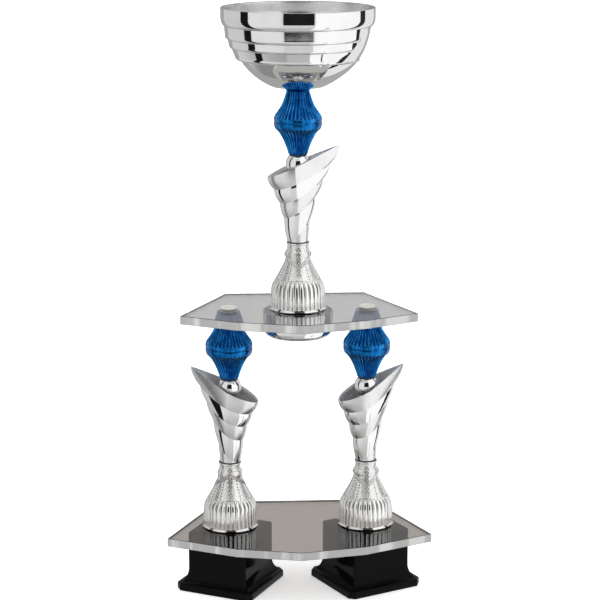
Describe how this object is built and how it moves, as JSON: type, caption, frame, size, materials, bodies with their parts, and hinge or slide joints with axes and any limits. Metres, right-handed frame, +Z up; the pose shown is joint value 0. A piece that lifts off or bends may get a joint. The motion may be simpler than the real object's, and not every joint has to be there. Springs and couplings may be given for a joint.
{
  "type": "column trophy",
  "caption": "Column trophy: twin fluted columns on square plinths hold clear shelves and an upper column with an open chrome bowl.",
  "frame": {"origin": "centre of the bounding box's underside, on the surface the trophy stands on", "axes": "+Z up through the three columns, the front of the trophy faces -Y and +X is its right as seen from the front"},
  "size_m": [0.248, 0.151, 0.5485],
  "materials": {
    "chrome_bowl": "polished plated sheet metal, satin grey inside",
    "chrome_bell": "metallised plastic, fluted skirt, hammered cone and cast garland",
    "chrome_torch": "metallised plastic, polished outside, satin grey inside",
    "chrome_knob": "mirror polished metallised plastic",
    "chrome_dome": "mirror polished plated cup",
    "blue_spindle": "streaky translucent blue lacquer over metallised plastic, satin gloss",
    "blue_seat": "streaky translucent blue lacquer over metallised plastic, satin gloss",
    "black_plinth": "polished black moulding",
    "clear_shelf": "clear acrylic sheet with polished edges",
    "cream_cap": "pale moulded plastic",
    "steel_hardware": "zinc-plated steel",
    "cast_weight": "rough cast"
  },
  "bodies": {
    "root": {"left_plinth": "black_plinth", "left_plinth_weight": "cast_weight", "left_rod_washer": "steel_hardware", "left_rod_nut": "steel_hardware", "left_rod": "steel_hardware", "left_cap_nut": "cream_cap", "right_plinth": "black_plinth", "right_plinth_weight": "cast_weight", "right_rod_washer": "steel_hardware", "right_rod_nut": "steel_hardware", "right_rod": "steel_hardware", "right_cap_nut": "cream_cap", "left_bell": "chrome_bell", "left_torch": "chrome_torch", "left_knob": "chrome_knob", "left_spindle_lower_half": "blue_spindle", "left_spindle_upper_half": "blue_spindle", "right_bell": "chrome_bell", "right_torch": "chrome_torch", "right_knob": "chrome_knob", "right_spindle_lower_half": "blue_spindle", "right_spindle_upper_half": "blue_spindle", "upper_bell": "chrome_bell", "upper_torch": "chrome_torch", "upper_knob": "chrome_knob", "upper_spindle_lower_half": "blue_spindle", "upper_spindle_upper_half": "blue_spindle", "lower_shelf": "clear_shelf", "upper_shelf": "clear_shelf", "under_dome": "chrome_dome", "upper_rod": "steel_hardware", "upper_rod_washer": "steel_hardware", "upper_rod_nut": "steel_hardware", "bowl_seat": "blue_seat", "bowl": "chrome_bowl", "bowl_washer": "steel_hardware", "bowl_nut": "steel_hardware"}
  },
  "joints": []
}
